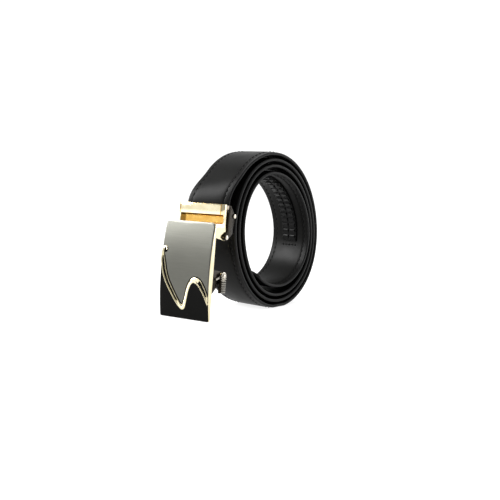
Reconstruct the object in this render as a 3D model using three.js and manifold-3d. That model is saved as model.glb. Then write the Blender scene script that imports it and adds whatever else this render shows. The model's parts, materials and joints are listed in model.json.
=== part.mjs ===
// Ratchet belt, wound into a coil, with its automatic buckle standing in front. Millimetres, +Z up.
// X runs across the buckle, which faces -Y, and the part stands on the coil and on the plate's foot.
import * as THREE from 'three';
import { mergeVertices } from 'three/addons/utils/BufferGeometryUtils.js';
import Module from 'manifold-3d';

const wasm = await Module();
wasm.setup();

// Fits between pieces
const GAP = 0.3; // between pieces that touch on the real belt
const PIN_FIT = 0.1; // around a pin in its bore
const TIP_CLEARANCE = 1.3; // added to the strap's thickness where its tip slides through
const SIDE_CLEARANCE = 0.6; // beside the strap where it passes between two cheeks
const OVERCUT = 1; // how far a cut runs past what it cuts

// Strap
const STRAP_WIDTH = 34.6;
const STRAP_THICKNESS = 2.9;
const STRAP_EDGE_THICKNESS = 2.1;

// Coil: the outer turn's outer face, and how the turns lie
const COIL_RADIUS = 57.4;
const COIL_FLATTEN = 0.057; // share by which the coil is taller than it is deep
const COIL_LEAN = 0.041; // share by which it leans toward the buckle at the top
const FIRST_TURN_CLOSING = 2.75 * STRAP_THICKNESS; // how far the outer turn comes in over one turn
const FLOOR_DENT = 0.5; // how much the leather flattens where it rests
const TIP_ANGLE = 1391; // where the free tip ends, degrees of winding from the front
const DEGREES_PER_SECTION = 9;

// Free space under each turn, at these degrees of winding, as a share of the strap's thickness
const TURN_GAPS = [
  { at: 380, gap: 1.75 },
  { at: 450, gap: 0.48 },
  { at: 540, gap: 0.12 },
  { at: 630, gap: 0.42 },
  { at: 720, gap: 0.44 },
  { at: 810, gap: 0.48 },
  { at: 900, gap: 0.12 },
  { at: 990, gap: 0.48 },
  { at: 1080, gap: 0.62 },
  { at: 1170, gap: 0.8 },
  { at: 1260, gap: 0.12 },
  { at: 1350, gap: 1.3 },
  { at: TIP_ANGLE, gap: 0.62 },
];

// Half of the strap's section: place across as a share of half the width, and how full it is there,
// from 0 at the edge's own thickness to 1 at the whole thickness
const STRAP_SECTION = [
  { across: 1, edge: 0.45, full: 0 },
  { across: 0.965, edge: 0.85, full: 0 },
  { across: 0.9, edge: 1, full: 0.1 },
  { across: 0.62, edge: 1, full: 1 },
];

// Ratchet track on the strap's inner face
const TRACK_WIDTH = 13.2;
const TRACK_BASE = 0.6;
const TOOTH_HEIGHT = 0.9;
const TOOTH_PITCH = 5;
const TRACK_GROOVE = 1.8; // between its two rows of teeth
const TRACK_FROM = 985; // degrees of winding
const TRACK_TO = 1273; // degrees of winding

// Face plate
const PLATE_LENGTH = 65.4;
const PLATE_ARCH = 3.2; // how far the middle of the front stands out
const PLATE_BACK = 1.9; // the flat back, behind the ends of the front
const PLATE_TOP_CORNER = 3;
const PLATE_FOOT_CORNER = 0.8;
const PANEL_THICKNESS = 0.6;
const WAVE_PROUD = 0.7; // how far the wave stands out of the panels
const WAVE_LINE = 0.9; // width of the gold line beside an inlay
const INLAY_LEAST = 0.12; // least half width of an inlay
const INLAY_ENDS = 4; // each end of an inlay narrows over one part in this many of its length
const ARCH_STEPS = 20;

// The wave's middle line, from its hook at the left edge to the right edge. Places are shares of half
// the plate's width and half its length, and half is half the ribbon's width as a share of half the plate's
const WAVE = [
  { x: -0.8, z: 0.375, half: 0.03 },
  { x: -0.825, z: 0.425, half: 0.035 },
  { x: -0.89, z: 0.443, half: 0.037 },
  { x: -0.945, z: 0.4, half: 0.04 },
  { x: -0.955, z: 0.31, half: 0.055 },
  { x: -0.94, z: 0.21, half: 0.075 },
  { x: -0.9, z: 0.1, half: 0.09 },
  { x: -0.83, z: -0.06, half: 0.093 },
  { x: -0.7, z: -0.25, half: 0.09 },
  { x: -0.49, z: -0.45, half: 0.085 },
  { x: -0.29, z: -0.625, half: 0.078 },
  { x: -0.155, z: -0.725, half: 0.075 },
  { x: -0.04, z: -0.765, half: 0.082 },
  { x: 0.035, z: -0.7, half: 0.06 },
  { x: 0.1, z: -0.56, half: 0.05 },
  { x: 0.165, z: -0.4, half: 0.052 },
  { x: 0.25, z: -0.27, half: 0.06 },
  { x: 0.36, z: -0.2, half: 0.078 },
  { x: 0.48, z: -0.19, half: 0.1 },
  { x: 0.62, z: -0.225, half: 0.1 },
  { x: 0.77, z: -0.33, half: 0.085 },
  { x: 0.91, z: -0.475, half: 0.068 },
  { x: 1.03, z: -0.66, half: 0.05 },
];
const WAVE_STEPS = 88;
const WAVE_EDGE_ROW = 5; // the row at which the wave meets the plate's left edge
// The enamel inlays, as stretches of the wave's rows
const INLAY_SPANS = [
  { name: 'wave_inlay_left', from: 4.2, to: 10.9 },
  { name: 'wave_inlay_right', from: 18.4, to: 21.4 },
];

// Buckle frame, in the plate's own frame: y runs back from the front's ends, z up from the middle
const CHEEK_THICKNESS = 0.9;
const BAR_FRONT = 9.4;
const BAR_THICKNESS = 1.2;
const BAR_LOW = 38.5;
const BAR_HEIGHT = 7;
const BAR_CORNER = 2.4;
const CHEEK_SHOULDER = 32.2; // where the cheek steps in from the plate to the bar
const CHEEK_LOW = 23.4;
const CHEEK_NECK = 4; // depth of the cheek beside the bar
const CHEEK_ROOT = 0.5; // how far the cheeks reach into the plate from its flat back
const CHEEK_RISE = 1; // how much higher the cheek's top edge is at its neck than at the wall
const WALL_THICKNESS = 0.8;
const WALL_LOW = 27;
const WALL_HIGH = 40;

// Clamp
const CLAMP_SHEET = 0.9;
const EAR_THICKNESS = 0.8;
const CLAMP_LOW = 27.2;
const CLAMP_HIGH = 45;
const EAR_DEPTH = 5.9; // from the clamp's front to the ears' back
const EAR_SLOPE = 5.4; // how far the ears' top corner is cut off
const EAR_DROP = 0.6; // how far the ears reach below the clamp
const EAR_LIP_TOP = 0.6; // how far the ears stand in front of the clamp at its top
const EAR_LIP_FOOT = 0.9; // and at its foot
const HINGE_Z = 23.5;
const HINGE_INSET = 2.2; // the hinge lies this far in front of the clamp's front
const HINGE_RADIUS = 1.1;
const HINGE_BOSS = 2.3;
const PIN_HEAD_THICKNESS = 0.6;
const PIN_HEAD_RADIUS = 1.5;
const STRAP_END = 26; // height of the strap's cut end inside the clamp
const FLAP_PIN_RADIUS = 0.55;
const FLAP_PIN_DROP = 6.8; // below the clamp's top
const FLAP_KNUCKLE = 0.42; // wall of the flap's knuckle
const FLAP_KNUCKLE_WIDTH = 15;
const FLAP_THICKNESS = 0.9;
const FLAP_WIDTH = 30;
const FLAP_TEETH = 3;
const FLAP_TOOTH = 1.1;
const FLAP_TOOTH_EDGE = 0.2; // how far a tooth's lower side drops
const FLAP_NECK = 1; // how far down the flap the knuckle's neck reaches
const NECK_SHARE = 0.7; // of the knuckle's radius, behind the pin

// Pawl, its bracket and its lever
const BRACKET_SHEET = 0.8;
const BRACKET_LOW = -15;
const BRACKET_HIGH = 2;
const SHAFT_Y = 13;
const SHAFT_Z = -2.5;
const SHAFT_RADIUS = 1.3;
const SHAFT_BOSS = 2.9;
const PAWL_WIDTH = 28;
const PAWL_WALL = 1.1;
const PAWL_REACH = 7.6; // from the shaft to the pawl's edge
const PAWL_EDGE_Y = 8.4;
const PAWL_EDGE = 1.5; // thickness of its edge
const PAWL_ROOT_BACK = 0.8; // behind the shaft's middle
const PAWL_ROOT_DROP = 0.8; // share of the barrel's radius, below the shaft's middle
const PAWL_ROOT_FRONT = 0.9; // share of the barrel's radius, in front of the shaft's middle
const LEVER_THICKNESS = 2.6;
const LEVER_DEPTH = 5.1;
const LEVER_FRONT = 10.1;
const LEVER_LOW = -13.9;
const LEVER_RIBS = 9;
const RIB_HEIGHT = 0.6;
const RIB_FOOT = 0.1; // share of the pitch at which a rib starts to rise
const RIB_TOP = 0.35; // share of the pitch at which it has its full height
const ARM_THICKNESS = 0.9;
const ARM_WIDTH = 1.3;
const ARM_END = { y: 5.7, z: -4.6 };
const POST_RADIUS = 0.9;
const POST_PLACE = { y: 8.1, z: -8.5 };
const POST_HEIGHT = 0.7;

// Where the buckle stands
const BUCKLE_YAW = 8.3; // degrees that it is turned from the coil
const BUCKLE_LEAN = 5.8; // degrees that the plate's foot stands out
const BUCKLE_SIDE = -1.5; // from the coil's middle to the hinge's, across
const FLAP_CLEARANCE = 0.87; // between the clamp's flap and the turn behind it, where they are nearest
const LIFT_DEGREES = 26; // winding over which the strap settles onto the coil's curve

const ROUND_SIDES = 20;

// Sizes that follow
const HALF_STRAP = STRAP_WIDTH / 2;
const CHEEK_IN = HALF_STRAP + SIDE_CLEARANCE;
const CHEEK_OUT = CHEEK_IN + CHEEK_THICKNESS;
const EAR_IN = CHEEK_OUT + GAP;
const EAR_OUT = EAR_IN + EAR_THICKNESS;
const PLATE_WIDTH = 2 * EAR_OUT;
const WALL_FRONT = BAR_FRONT + BAR_THICKNESS + STRAP_THICKNESS + TIP_CLEARANCE;
const WALL_BACK = WALL_FRONT + WALL_THICKNESS;
const CLAMP_FRONT = WALL_BACK + GAP;
const CLAMP_BACK = CLAMP_FRONT + CLAMP_SHEET;
const STRAP_MIDDLE_Y = CLAMP_BACK + GAP + STRAP_THICKNESS / 2;
const STRAP_BACK = CLAMP_BACK + GAP + STRAP_THICKNESS;
const HINGE_Y = CLAMP_FRONT - HINGE_INSET;
const FLAP_FRONT = STRAP_BACK + GAP + FLAP_TOOTH;
const FLAP_BACK = FLAP_FRONT + FLAP_THICKNESS;
const FLAP_PIN_Z = CLAMP_HIGH - FLAP_PIN_DROP;
const FLAP_TOP = FLAP_PIN_Z - FLAP_PIN_RADIUS - GAP;
const SHAFT_BORE = SHAFT_RADIUS + PIN_FIT;
const LEVER_IN = EAR_IN;

const radians = THREE.MathUtils.degToRad;

function smooth(t) {
  const s = THREE.MathUtils.clamp(t, 0, 1);
  return s * s * (3 - 2 * s);
}

// Reads a table at a place between its rows, with an even slope at each row
function readTable(rows, at, column) {
  if (at <= rows[0].at) return rows[0][column];
  for (let i = 1; i < rows.length; i += 1) {
    if (at <= rows[i].at) {
      const share = smooth((at - rows[i - 1].at) / (rows[i].at - rows[i - 1].at));
      return THREE.MathUtils.lerp(rows[i - 1][column], rows[i][column], share);
    }
  }
  return rows[rows.length - 1][column];
}

// Solids and meshes

function bare(geometry) {
  const plain = geometry.clone();
  plain.deleteAttribute('normal');
  plain.deleteAttribute('uv');
  return mergeVertices(plain, 1e-4);
}

function toSolid(geometry) {
  const merged = bare(geometry);
  return new wasm.Manifold(new wasm.Mesh({
    numProp: 3,
    vertProperties: new Float32Array(merged.attributes.position.array),
    triVerts: new Uint32Array(merged.index.array),
  }));
}

function toGeometry(solid) {
  const mesh = solid.getMesh();
  const geometry = new THREE.BufferGeometry();
  geometry.setAttribute('position', new THREE.BufferAttribute(new Float32Array(mesh.vertProperties), 3));
  geometry.setIndex(new THREE.BufferAttribute(new Uint32Array(mesh.triVerts), 1));
  return geometry;
}

function outlineShape(points) {
  return new THREE.Shape(points.map((p) => new THREE.Vector2(p[0], p[1])));
}

function extrude(shape, depth) {
  return new THREE.ExtrudeGeometry(shape, { depth, bevelEnabled: false, curveSegments: 6, steps: 1 });
}

// A profile of [y, z] points, extruded across from one x to another
function acrossSolid(points, fromX, toX) {
  const geometry = extrude(outlineShape(points), toX - fromX);
  const turn = new THREE.Matrix4().makeBasis(
    new THREE.Vector3(0, 1, 0), new THREE.Vector3(0, 0, 1), new THREE.Vector3(1, 0, 0));
  geometry.applyMatrix4(turn);
  geometry.translate(fromX, 0, 0);
  return toSolid(geometry);
}

// An outline of [x, z] points, extruded back from one y to another
function backwardSolid(points, fromY, toY) {
  const geometry = extrude(outlineShape(points), toY - fromY);
  const turn = new THREE.Matrix4().makeBasis(
    new THREE.Vector3(1, 0, 0), new THREE.Vector3(0, 0, 1), new THREE.Vector3(0, -1, 0));
  geometry.applyMatrix4(turn);
  geometry.translate(0, toY, 0);
  return toSolid(geometry);
}

// An outline of [x, y] points, extruded up from one z to another
function upwardSolid(points, fromZ, toZ) {
  const geometry = extrude(outlineShape(points), toZ - fromZ);
  geometry.translate(0, 0, fromZ);
  return toSolid(geometry);
}

function roundAcross(y, z, radius, fromX, toX) {
  const geometry = new THREE.CylinderGeometry(radius, radius, toX - fromX, ROUND_SIDES);
  geometry.rotateZ(Math.PI / 2);
  geometry.translate((fromX + toX) / 2, y, z);
  return toSolid(geometry);
}

function arcPoints(centreX, centreY, radius, fromDegrees, toDegrees, steps) {
  const points = [];
  for (let i = 0; i <= steps; i += 1) {
    const angle = radians(THREE.MathUtils.lerp(fromDegrees, toDegrees, i / steps));
    points.push([centreX + radius * Math.cos(angle), centreY + radius * Math.sin(angle)]);
  }
  return points;
}

function unite(solids) {
  return solids.reduce((all, solid) => all.add(solid));
}

function finish(colour, roughness, metalness) {
  return new THREE.MeshStandardMaterial({ color: colour, roughness, metalness });
}

const LEATHER = finish(0x18191a, 0.5, 0);
const TRACK_PLASTIC = finish(0x141414, 0.45, 0);
const GOLD = finish(0xeadfae, 0.15, 1);
const BRUSHED = finish(0x8b8b84, 0.4, 1);
const ENAMEL = finish(0x0c0c0d, 0.12, 0);
const GUNMETAL = finish(0x3a3634, 0.3, 1);
const NICKEL = finish(0xdcd8cc, 0.2, 1);

function piece(name, geometry, material) {
  const mesh = new THREE.Mesh(geometry, material);
  mesh.name = name;
  return mesh;
}

// Where the coil and the buckle stand

// Radius of a turn's outer face at an angle of winding. 0 degrees is the front, and 90 the top
function outerRadius(angle) {
  if (angle > 380) {
    return outerRadius(angle - 360) - STRAP_THICKNESS * (1 + readTable(TURN_GAPS, angle, 'gap'));
  }
  const t = radians(angle);
  const oval = 1 - COIL_FLATTEN * Math.cos(2 * t) + COIL_LEAN * Math.sin(2 * t);
  return COIL_RADIUS * oval - FIRST_TURN_CLOSING * angle / 360;
}

// The coil's own depth below its middle, before the leather flattens
function coilDepth() {
  let depth = 0;
  for (let angle = 180; angle <= 360; angle += 1) {
    depth = Math.max(depth, -outerRadius(angle) * Math.sin(radians(angle)));
  }
  return depth;
}

const COIL_MIDDLE_Z = coilDepth() - FLOOR_DENT;

function restingRadius(angle) {
  const radius = outerRadius(angle);
  const down = -Math.sin(radians(angle));
  if (angle > 380 || down < 0.5) return radius;
  return Math.min(radius, COIL_MIDDLE_Z / down);
}

// A point of the buckle's side view, measured from its hinge, after the lean
function leaned(y, z) {
  const lean = -radians(BUCKLE_LEAN);
  return new THREE.Vector2(
    (y - HINGE_Y) * Math.cos(lean) - (z - HINGE_Z) * Math.sin(lean),
    (y - HINGE_Y) * Math.sin(lean) + (z - HINGE_Z) * Math.cos(lean));
}

// Angle past the front at which a curve round the coil has a height above the coil's middle
function angleAtHeight(radiusAt, height) {
  let angle = 0;
  while (radiusAt(angle) * Math.sin(radians(angle)) < height && angle < 80) angle += 0.25;
  return angle;
}

function radiusInside(angle) {
  return restingRadius(angle) - STRAP_THICKNESS / 2;
}

function turnBehind(angle) {
  return outerRadius(angle + 360);
}

// The plate's foot stands on the floor
const HINGE_HEIGHT = -leaned(PLATE_BACK, -PLATE_LENGTH / 2).y;

// How far in front of the coil's middle the hinge has to be for the flap to clear the turn behind it at a
// height, on the side that the yaw turns toward the coil
function hingeAheadFor(z) {
  const back = leaned(FLAP_BACK, z);
  const angle = angleAtHeight(turnBehind, HINGE_HEIGHT + back.y - COIL_MIDDLE_Z);
  const yaw = radians(BUCKLE_YAW);
  const reach = back.x * Math.cos(yaw) + FLAP_WIDTH / 2 * Math.sin(yaw);
  return turnBehind(angle) * Math.cos(radians(angle)) + FLAP_CLEARANCE + reach;
}

const HINGE_AHEAD = Math.max(hingeAheadFor(CLAMP_LOW), hingeAheadFor(FLAP_TOP));
const MOUTH = leaned(STRAP_MIDDLE_Y, CLAMP_HIGH);
const MOUTH_ANGLE = angleAtHeight(radiusInside, HINGE_HEIGHT + MOUTH.y - COIL_MIDDLE_Z);

const whole = new THREE.Group();
const hingeGroup = new THREE.Group();
hingeGroup.position.set(BUCKLE_SIDE, -HINGE_AHEAD, HINGE_HEIGHT);
hingeGroup.rotation.z = radians(BUCKLE_YAW);
const leanGroup = new THREE.Group();
leanGroup.rotation.x = -radians(BUCKLE_LEAN);
const buckle = new THREE.Group();
buckle.position.set(0, -HINGE_Y, -HINGE_Z);
leanGroup.add(buckle);
hingeGroup.add(leanGroup);
whole.add(hingeGroup);
whole.updateMatrixWorld(true);

// Strap

function fromBuckle(x, y, z) {
  return new THREE.Vector3(x, y, z).applyMatrix4(buckle.matrixWorld);
}

const CLAMP_ACROSS = fromBuckle(1, 0, 0).sub(fromBuckle(0, 0, 0));
const CLAMP_UP = fromBuckle(0, 0, 1).sub(fromBuckle(0, 0, 0));
const CLAMP_ORIGIN = fromBuckle(0, STRAP_MIDDLE_Y, 0);

function angleOf(point) {
  return THREE.MathUtils.radToDeg(Math.atan2(point.z - COIL_MIDDLE_Z, -point.y));
}

const START_ANGLE = angleOf(fromBuckle(0, STRAP_MIDDLE_Y, STRAP_END));

// Where the clamp's straight middle line crosses a ray from the coil's middle
function clampLineAt(angle) {
  const t = radians(angle);
  const ray = new THREE.Vector2(-Math.cos(t), Math.sin(t));
  const start = new THREE.Vector2(CLAMP_ORIGIN.y, CLAMP_ORIGIN.z - COIL_MIDDLE_Z);
  const up = new THREE.Vector2(CLAMP_UP.y, CLAMP_UP.z);
  const height = -ray.cross(start) / ray.cross(up);
  const radius = start.addScaledVector(up, height).dot(ray);
  return { radius, x: CLAMP_ORIGIN.x + CLAMP_UP.x * height };
}

function lineStandoff(angle) {
  return clampLineAt(angle).radius - radiusInside(angle);
}

// How far the strap's middle line lies outside the coil's curve after the mouth, with an even slope
function standoffAt(angle) {
  const u = Math.min((angle - MOUTH_ANGLE) / LIFT_DEGREES, 1);
  const slope = (lineStandoff(MOUTH_ANGLE) - lineStandoff(MOUTH_ANGLE - 1)) * LIFT_DEGREES;
  return lineStandoff(MOUTH_ANGLE) * (2 * u ** 3 - 3 * u ** 2 + 1) + slope * (u ** 3 - 2 * u ** 2 + u);
}

function settled(angle) {
  return smooth((angle - MOUTH_ANGLE) / LIFT_DEGREES);
}

// A point of the strap's middle line, or a distance inward of its outer face
function middlePoint(angle, inward = STRAP_THICKNESS / 2) {
  const t = radians(angle);
  const line = clampLineAt(Math.min(angle, MOUTH_ANGLE + LIFT_DEGREES));
  let radius = restingRadius(angle) - inward;
  if (angle < MOUTH_ANGLE) radius = line.radius;
  else radius += standoffAt(angle);
  const x = THREE.MathUtils.lerp(line.x, 0, settled(angle));
  return new THREE.Vector3(x, -radius * Math.cos(t), COIL_MIDDLE_Z + radius * Math.sin(t));
}

function strapPlace(angle) {
  const point = middlePoint(angle);
  const along = middlePoint(angle + 0.5).sub(middlePoint(angle - 0.5)).normalize();
  const across = CLAMP_ACROSS.clone().lerp(new THREE.Vector3(1, 0, 0), settled(angle)).normalize();
  const out = new THREE.Vector3().crossVectors(along, across).normalize();
  return { point, across, out: out.multiplyScalar(-1) };
}

// Half section points as [across, out], round the section once
function sectionPoints(taper) {
  const outer = STRAP_SECTION.map((row) => {
    const extra = (STRAP_THICKNESS - STRAP_EDGE_THICKNESS) * row.full;
    return [row.across * HALF_STRAP * taper, (STRAP_EDGE_THICKNESS * row.edge + extra) / 2];
  });
  const mirrored = outer.map(([x, y]) => [-x, y]).reverse();
  const top = outer.concat(mirrored);
  return top.concat(top.map(([x, y]) => [x, -y]).reverse());
}

// Joins rings of points into one closed body
function loft(rings) {
  const count = rings[0].length;
  const positions = rings.flat().flatMap((p) => [p.x, p.y, p.z]);
  const index = [];
  for (let i = 0; i + 1 < rings.length; i += 1) {
    for (let k = 0; k < count; k += 1) {
      const a = i * count + k;
      const b = i * count + (k + 1) % count;
      index.push(a, a + count, b, b, a + count, b + count);
    }
  }
  const last = (rings.length - 1) * count;
  for (let k = 1; k + 1 < count; k += 1) {
    index.push(0, k, k + 1);
    index.push(last, last + k + 1, last + k);
  }
  const geometry = new THREE.BufferGeometry();
  geometry.setAttribute('position', new THREE.Float32BufferAttribute(positions, 3));
  geometry.setIndex(index);
  return geometry;
}

// The free tip narrows over its last stretch: degrees before the tip, and width left there
const TIP_TAPER = [
  { before: 12, width: 1 },
  { before: 7, width: 0.95 },
  { before: 3.5, width: 0.83 },
  { before: 1.2, width: 0.66 },
  { before: 0, width: 0.5 },
];

function strapAngles() {
  const angles = [];
  const bodyEnd = TIP_ANGLE - TIP_TAPER[0].before;
  const first = Math.ceil(MOUTH_ANGLE / DEGREES_PER_SECTION) * DEGREES_PER_SECTION;
  angles.push(START_ANGLE, MOUTH_ANGLE);
  for (let angle = first; angle < bodyEnd; angle += DEGREES_PER_SECTION) angles.push(angle);
  return angles.map((angle) => ({ angle, width: 1 }))
    .concat(TIP_TAPER.map((row) => ({ angle: TIP_ANGLE - row.before, width: row.width })));
}

function makeStrap() {
  const rings = strapAngles().map(({ angle, width }) => {
    const { point, across, out } = strapPlace(angle);
    return sectionPoints(width).map(([x, y]) => point.clone()
      .addScaledVector(across, x).addScaledVector(out, y));
  });
  return piece('strap', loft(rings), LEATHER);
}

// The toothed strip: a thin base along the strap's inner face, and two rows of saw teeth on it
function makeTrack() {
  const inner = (angle, depth) => {
    const point = middlePoint(angle, STRAP_THICKNESS + GAP + depth);
    return [point.y, point.z];
  };
  const meanRadius = outerRadius((TRACK_FROM + TRACK_TO) / 2) - STRAP_THICKNESS;
  const arc = radians(TRACK_TO - TRACK_FROM) * meanRadius;
  const teeth = Math.round(arc / TOOTH_PITCH);
  const step = (TRACK_TO - TRACK_FROM) / teeth;
  const outside = [];
  const base = [];
  const saw = [];
  for (let i = 0; i <= teeth; i += 1) {
    const angle = TRACK_FROM + i * step;
    outside.push(inner(angle, 0));
    base.push(inner(angle, TRACK_BASE));
    saw.push(inner(angle, TRACK_BASE));
    if (i < teeth) saw.push(inner(angle + step * 0.12, TRACK_BASE + TOOTH_HEIGHT));
  }
  const half = TRACK_WIDTH / 2;
  const strip = acrossSolid(outside.concat(base.slice().reverse()), -half, half);
  const rows = [[-half, -TRACK_GROOVE / 2], [TRACK_GROOVE / 2, half]].map(([from, to]) => (
    acrossSolid(outside.concat(saw.slice().reverse()), from, to)));
  return piece('ratchet_track', toGeometry(unite([strip, ...rows])), TRACK_PLASTIC);
}

// Face plate

function archFront(z) {
  const share = 2 * z / PLATE_LENGTH;
  return -PLATE_ARCH * (1 - share * share);
}

// Points up the arched front, moved back by a distance
function archPoints(back) {
  const points = [];
  for (let i = 0; i <= ARCH_STEPS; i += 1) {
    const z = PLATE_LENGTH * (i / ARCH_STEPS - 0.5);
    points.push([archFront(z) + back, z]);
  }
  return points;
}

function plateOutline() {
  const corner = (side, end, radius, from) => arcPoints(
    side * (PLATE_WIDTH / 2 - radius), end * (PLATE_LENGTH / 2 - radius), radius, from, from + 90, 4);
  return [
    ...corner(1, 1, PLATE_TOP_CORNER, 0), ...corner(-1, 1, PLATE_TOP_CORNER, 90),
    ...corner(-1, -1, PLATE_FOOT_CORNER, 180), ...corner(1, -1, PLATE_FOOT_CORNER, 270),
  ];
}

const PLATE_PRISM = backwardSolid(plateOutline(), -PLATE_ARCH - PLATE_LENGTH, PLATE_LENGTH);

// A sheet that follows the arch, between two distances behind the front
function archSheet(front, back) {
  const half = PLATE_WIDTH / 2 + OVERCUT;
  const points = archPoints(front).concat(archPoints(back).reverse());
  return acrossSolid(points.reverse(), -half, half).intersect(PLATE_PRISM);
}

const waveCurve = new THREE.CatmullRomCurve3(WAVE.map((row) => (
  new THREE.Vector3(row.x * PLATE_WIDTH / 2, 0, row.z * PLATE_LENGTH / 2))), false, 'centripetal');

// Half the ribbon's width at a place counted in the wave's rows
function waveHalf(row) {
  const low = Math.min(Math.floor(row), WAVE.length - 2);
  return THREE.MathUtils.lerp(WAVE[low].half, WAVE[low + 1].half, row - low) * PLATE_WIDTH / 2;
}

// Outline of a ribbon along the wave between two rows, with round ends
function ribbon(fromRow, toRow, halfAt, steps) {
  const left = [];
  const right = [];
  for (let i = 0; i <= steps; i += 1) {
    const row = THREE.MathUtils.lerp(fromRow, toRow, i / steps);
    const t = row / (WAVE.length - 1);
    const point = waveCurve.getPoint(t);
    const along = waveCurve.getTangent(t);
    const half = halfAt(row);
    left.push([point.x - along.z * half, point.z + along.x * half]);
    right.push([point.x + along.z * half, point.z - along.x * half]);
  }
  return left.concat(right.reverse()).reverse();
}

// The line that divides the two panels: the wave from where it meets the left edge
function waveLine() {
  const points = [];
  const from = WAVE_EDGE_ROW / (WAVE.length - 1);
  for (let i = 0; i <= WAVE_STEPS; i += 1) {
    const point = waveCurve.getPoint(THREE.MathUtils.lerp(from, 1, i / WAVE_STEPS));
    points.push([point.x, point.z]);
  }
  return points;
}

function inlayOutline(span, extra) {
  const length = span.to - span.from;
  const halfAt = (row) => {
    const share = (row - span.from) / length;
    const ends = Math.sqrt(Math.max(0, Math.min(1, INLAY_ENDS * share, INLAY_ENDS * (1 - share))));
    return Math.max(INLAY_LEAST, (waveHalf(row) - WAVE_LINE) * ends) + extra;
  };
  return ribbon(span.from, span.to, halfAt, 24);
}

// The area that an outline of [x, z] points covers. The outline may cross itself
function area(points) {
  return new wasm.CrossSection([points], 'NonZero');
}

// The area of the whole wave, with the pinholes closed that crossing sides leave in its sharp bends
function waveArea(halfAt) {
  const band = area(ribbon(0, WAVE.length - 1, halfAt, WAVE_STEPS));
  return band.offset(GAP / 2, 'Miter').offset(-GAP / 2, 'Miter');
}

function throughPlate(flat) {
  const deep = PLATE_ARCH + PLATE_BACK + OVERCUT;
  return wasm.Manifold.extrude(flat, 2 * deep).rotate([90, 0, 0]).translate([0, deep, 0]);
}

function makeFace() {
  const side = PLATE_WIDTH / 2 + OVERCUT;
  const end = PLATE_LENGTH / 2 + OVERCUT;
  const line = waveLine();
  const first = line[0];
  const last = line[line.length - 1];
  const above = throughPlate(area([[-side, first[1]], ...line, [side, last[1]], [side, end],
    [-side, end]]));
  const below = throughPlate(area([[-side, -end], [side, -end], [side, last[1]],
    ...line.slice().reverse(), [-side, first[1]]]));
  const margin = throughPlate(waveArea((row) => waveHalf(row) + GAP));
  const sheet = archSheet(0, PANEL_THICKNESS);
  const upper = sheet.intersect(above).subtract(margin);
  const lower = sheet.intersect(below).subtract(margin);

  const slots = INLAY_SPANS.map((span) => throughPlate(area(inlayOutline(span, 0))));
  const trimSheet = archSheet(-WAVE_PROUD, PANEL_THICKNESS);
  const trim = slots.reduce((solid, slot) => solid.subtract(slot),
    trimSheet.intersect(throughPlate(waveArea(waveHalf))));
  const inlays = INLAY_SPANS.map((span) => {
    const inside = throughPlate(area(inlayOutline(span, -GAP / 3)));
    const solid = archSheet(0, PANEL_THICKNESS).intersect(inside);
    return piece(span.name, toGeometry(solid), ENAMEL);
  });
  return [
    piece('upper_panel', toGeometry(upper), BRUSHED),
    piece('lower_panel', toGeometry(lower), ENAMEL),
    piece('wave_trim', toGeometry(trim), GOLD),
    ...inlays,
  ];
}

// Buckle frame

function backPlate() {
  const front = archPoints(PANEL_THICKNESS + GAP);
  const half = PLATE_LENGTH / 2;
  const points = front.concat([[PLATE_BACK, half], [PLATE_BACK, -half]]);
  const width = PLATE_WIDTH / 2 + OVERCUT;
  return acrossSolid(points.reverse(), -width, width).intersect(PLATE_PRISM);
}

function cheekOutline() {
  const top = BAR_LOW + BAR_HEIGHT;
  const boss = arcPoints(HINGE_Y, HINGE_Z, HINGE_BOSS, 0, -90, 5).reverse();
  return [
    [0, CHEEK_LOW], ...boss, [WALL_BACK, HINGE_Z + HINGE_BOSS],
    [WALL_BACK, WALL_HIGH], [BAR_FRONT + CHEEK_NECK, WALL_HIGH + CHEEK_RISE], [BAR_FRONT + CHEEK_NECK, top],
    [BAR_FRONT + BAR_CORNER, top], [BAR_FRONT + BAR_CORNER, CHEEK_SHOULDER], [0, CHEEK_SHOULDER],
  ];
}

function keeperBar() {
  const outer = CHEEK_OUT;
  const inner = CHEEK_IN;
  const back = BAR_FRONT + CHEEK_NECK;
  const inside = BAR_FRONT + BAR_THICKNESS;
  const bend = BAR_CORNER - CHEEK_THICKNESS;
  const points = [
    ...arcPoints(-outer + BAR_CORNER, BAR_FRONT + BAR_CORNER, BAR_CORNER, 180, 270, 5),
    ...arcPoints(outer - BAR_CORNER, BAR_FRONT + BAR_CORNER, BAR_CORNER, 270, 360, 5),
    [outer, back], [inner, back],
    ...arcPoints(inner - bend, inside + bend, bend, 0, -90, 3),
    ...arcPoints(-inner + bend, inside + bend, bend, -90, -180, 3),
    [-inner, back], [-outer, back],
  ];
  return upwardSolid(points, BAR_LOW, BAR_LOW + BAR_HEIGHT);
}

function makeFrame() {
  const plate = backPlate();
  // The cheeks start inside the plate, well behind its arched front
  const root = PLATE_BACK - CHEEK_ROOT;
  const top = BAR_LOW + BAR_HEIGHT + OVERCUT;
  const behindRoot = acrossSolid([[root, CHEEK_LOW], [WALL_BACK + OVERCUT, CHEEK_LOW - HINGE_BOSS * 2],
    [WALL_BACK + OVERCUT, top], [root, top]], -CHEEK_OUT, CHEEK_OUT);
  const cheeks = [[-CHEEK_OUT, -CHEEK_IN], [CHEEK_IN, CHEEK_OUT]].map(([from, to]) => (
    acrossSolid(cheekOutline(), from, to).intersect(behindRoot)));
  const wall = acrossSolid([[WALL_FRONT, WALL_LOW], [WALL_BACK, WALL_LOW], [WALL_BACK, WALL_HIGH],
    [WALL_FRONT, WALL_HIGH]], -CHEEK_OUT, CHEEK_OUT);
  const far = CHEEK_OUT + OVERCUT;
  const bore = roundAcross(HINGE_Y, HINGE_Z, HINGE_RADIUS + PIN_FIT, -far, far);
  const frame = unite([plate, ...cheeks, keeperBar(), wall]).subtract(bore);
  return piece('buckle_frame', toGeometry(frame), GOLD);
}

// Clamp

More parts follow.
